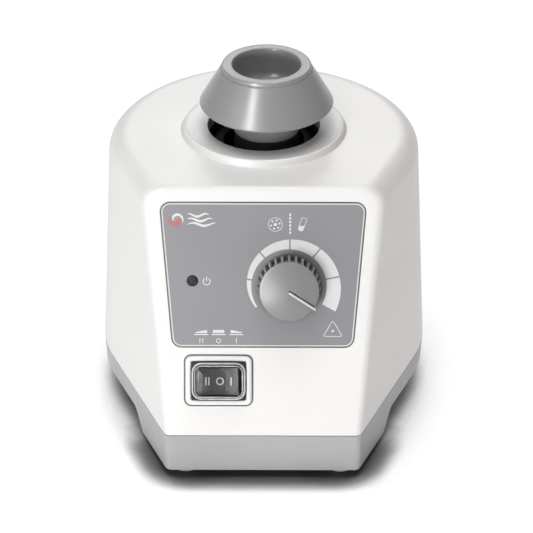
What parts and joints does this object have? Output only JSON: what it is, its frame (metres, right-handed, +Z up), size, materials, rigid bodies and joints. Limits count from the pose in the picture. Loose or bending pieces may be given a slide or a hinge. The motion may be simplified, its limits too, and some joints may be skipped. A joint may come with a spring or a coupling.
{
  "type": "vortex mixer",
  "caption": "Bench vortex mixer with an orbiting rubber cup, touch-start drive, speed knob and rocker switch under a clear cap.",
  "frame": {"origin": "middle of the footprint, on the surface the feet stand on", "axes": "+Z up, the front panel faces -Y, +X to the right as seen by the user"},
  "size_m": [0.127, 0.1436, 0.1391],
  "materials": {
    "housing_white": "satin white moulding",
    "base_grey": "grey painted casting",
    "foot_rubber": "matt grey rubber",
    "overlay_grey": "printed film, fine matt texture",
    "knob_grey": "satin grey moulding",
    "pointer_white": "pale inlay",
    "cup_rubber": "smooth grey rubber",
    "black_plastic": "black moulding",
    "seal_rubber": "black rubber",
    "clear_silicone": "clear silicone",
    "led_lens": "dark lens",
    "board_green": "solder resist",
    "signal_red": "red moulding",
    "plated_steel": "zinc plated",
    "plate_steel": "bare rolled plate",
    "heat_sink_metal": "bare sheet",
    "core_iron": "dark laminated iron",
    "winding_copper": "enamelled copper wire",
    "contact_brass": "bare brass",
    "hub_zinc": "as cast"
  },
  "bodies": {
    "housing": {"upper_housing": "housing_white", "base_casting": "base_grey", "foot_front_left": "foot_rubber", "foot_front_right": "foot_rubber", "foot_rear_left": "foot_rubber", "foot_rear_right": "foot_rubber", "housing_screw_front_left": "plated_steel", "housing_screw_front_right": "plated_steel", "housing_screw_rear_left": "plated_steel", "housing_screw_rear_right": "plated_steel", "panel_overlay": "overlay_grey", "potentiometer": "black_plastic", "potentiometer_nut": "plated_steel", "control_board": "board_green", "board_screw_lower": "plated_steel", "board_screw_upper": "plated_steel", "power_led": "signal_red", "led_light_pipe": "led_lens", "filter_capacitor": "black_plastic", "speed_triac": "black_plastic", "triac_heat_sink": "heat_sink_metal", "switch_body": "black_plastic", "rocker_cap": "clear_silicone", "mains_inlet": "black_plastic", "inlet_pin_line": "contact_brass", "inlet_pin_neutral": "contact_brass", "inlet_pin_earth": "contact_brass", "carriage_screw_1": "plated_steel", "carriage_screw_2": "plated_steel", "carriage_screw_3": "plated_steel", "carriage_screw_4": "plated_steel", "carriage_spring_1": "plated_steel", "carriage_spring_2": "plated_steel", "carriage_spring_3": "plated_steel", "carriage_spring_4": "plated_steel", "touch_switch": "black_plastic"},
    "drive_carriage": {"motor_plate": "plate_steel", "motor_end_cap": "plated_steel", "motor_can": "plated_steel", "motor_bearing_lower": "plated_steel", "motor_bearing_upper": "plated_steel", "stator_core": "core_iron", "stator_winding_1": "winding_copper", "stator_winding_2": "winding_copper", "sealing_boot": "seal_rubber"},
    "rotor": {"motor_shaft": "plated_steel", "rotor_core": "core_iron", "eccentric_hub": "hub_zinc", "balance_weight": "plated_steel"},
    "cup": {"cup_holder": "black_plastic", "cup_bearing": "plated_steel", "rubber_cup": "cup_rubber"},
    "dial": {"speed_knob": "knob_grey", "knob_pointer": "pointer_white", "potentiometer_shaft": "contact_brass"},
    "rocker": {"rocker": "black_plastic"},
    "touch_plunger": {"touch_plunger": "signal_red"}
  },
  "joints": [
    {"name": "carriage_press", "type": "slide", "parent": "housing", "child": "drive_carriage", "axis": [0, 0, -1], "range_m": [0, 0.0015], "stiffness_N_per_m": 12000, "springref_m": -0.003, "deforming": ["carriage_spring_1", "carriage_spring_2", "carriage_spring_3", "carriage_spring_4"]},
    {"name": "shaft_spin", "type": "hinge", "parent": "drive_carriage", "child": "rotor", "pos_m": [0, 0.00833, 0.06], "axis": [0, 0, 1], "continuous": true},
    {"name": "cup_counter_turn", "type": "hinge", "parent": "rotor", "child": "cup", "pos_m": [0.00106, 0.00663, 0.102], "axis": [0, 0, 1], "continuous": true},
    {"name": "dial_turn", "type": "hinge", "parent": "housing", "child": "dial", "pos_m": [0.0098, -0.05175, 0.07473], "axis": [0, -0.9373, 0.3486], "range_deg": [0, 246]},
    {"name": "rocker_tilt", "type": "hinge", "parent": "housing", "child": "rocker", "pos_m": [-0.0167, -0.06199, 0.04002], "axis": [0, 0.3486, 0.9373], "range_deg": [-9, 9]},
    {"name": "touch_plunger_press", "type": "slide", "parent": "housing", "child": "touch_plunger", "axis": [0, 0, -1], "range_m": [0, 0.0015]}
  ],
  "couplings": [
    {"joint": "cup_counter_turn", "follows": "shaft_spin", "ratio": -1},
    {"joint": "touch_plunger_press", "follows": "carriage_press", "ratio": 1}
  ]
}
